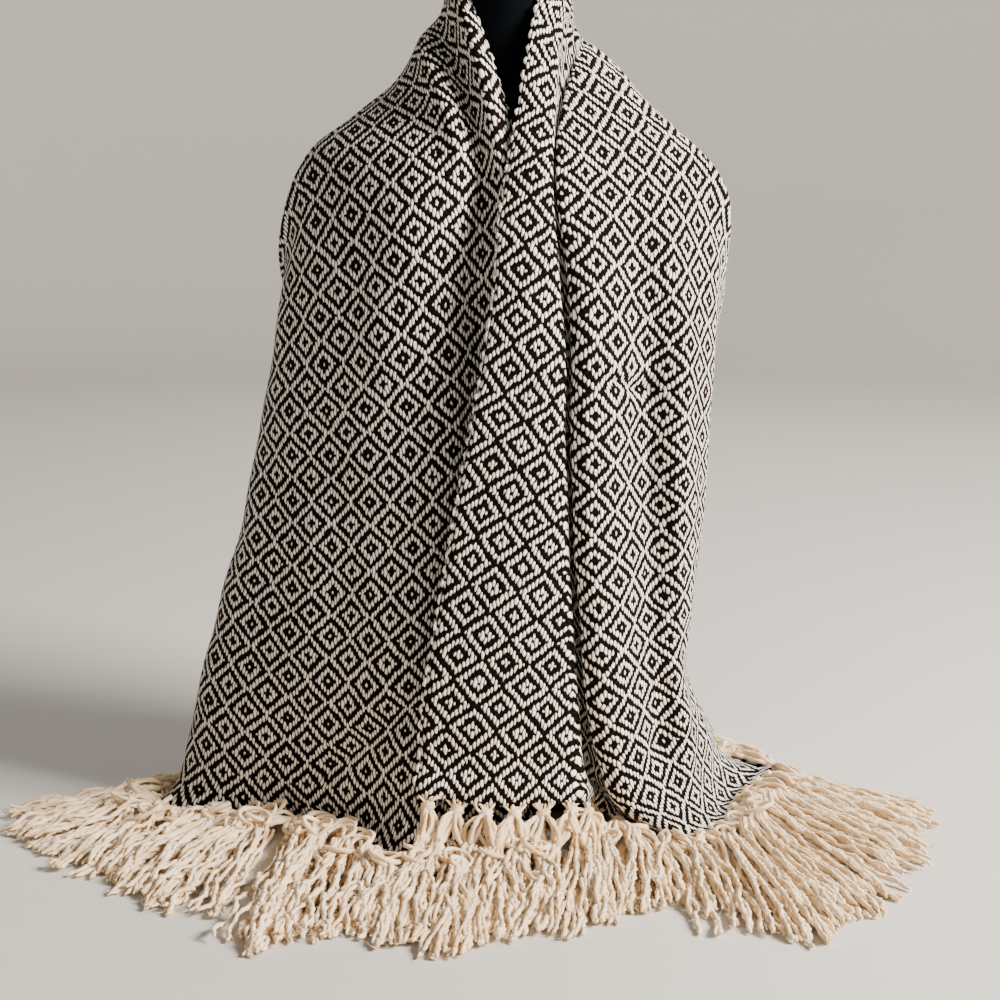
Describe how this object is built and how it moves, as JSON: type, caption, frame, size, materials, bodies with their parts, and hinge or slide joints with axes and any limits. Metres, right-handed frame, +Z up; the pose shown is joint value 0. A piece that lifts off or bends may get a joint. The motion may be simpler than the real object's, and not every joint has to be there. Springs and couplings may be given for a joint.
{
  "type": "fringed rebozo shawl draped on a display bust",
  "caption": "Handwoven fringed shawl with a diamond twill pattern, draped round the neck and shoulders of a plain dark display bust, ends hanging in front.",
  "frame": {"origin": "centre of the display bust's flat base, on the surface it stands on", "axes": "+Z up, the bust faces -Y, +X to the right of someone looking at the front"},
  "size_m": [0.8858, 0.705, 0.874],
  "materials": {
    "woven_cotton": "thick handwoven cotton, cream warp and dark brown weft in a small diamond twill",
    "cotton_fringe": "loosely plied ecru cotton yarn, knotted in two rows and left loose",
    "bust_cover": "plain matte near-black moulded form"
  },
  "bodies": {
    "root": {"display_bust": "bust_cover", "shawl_cloth": "woven_cotton", "fringe_right_end": "cotton_fringe", "fringe_left_end": "cotton_fringe"}
  },
  "joints": []
}
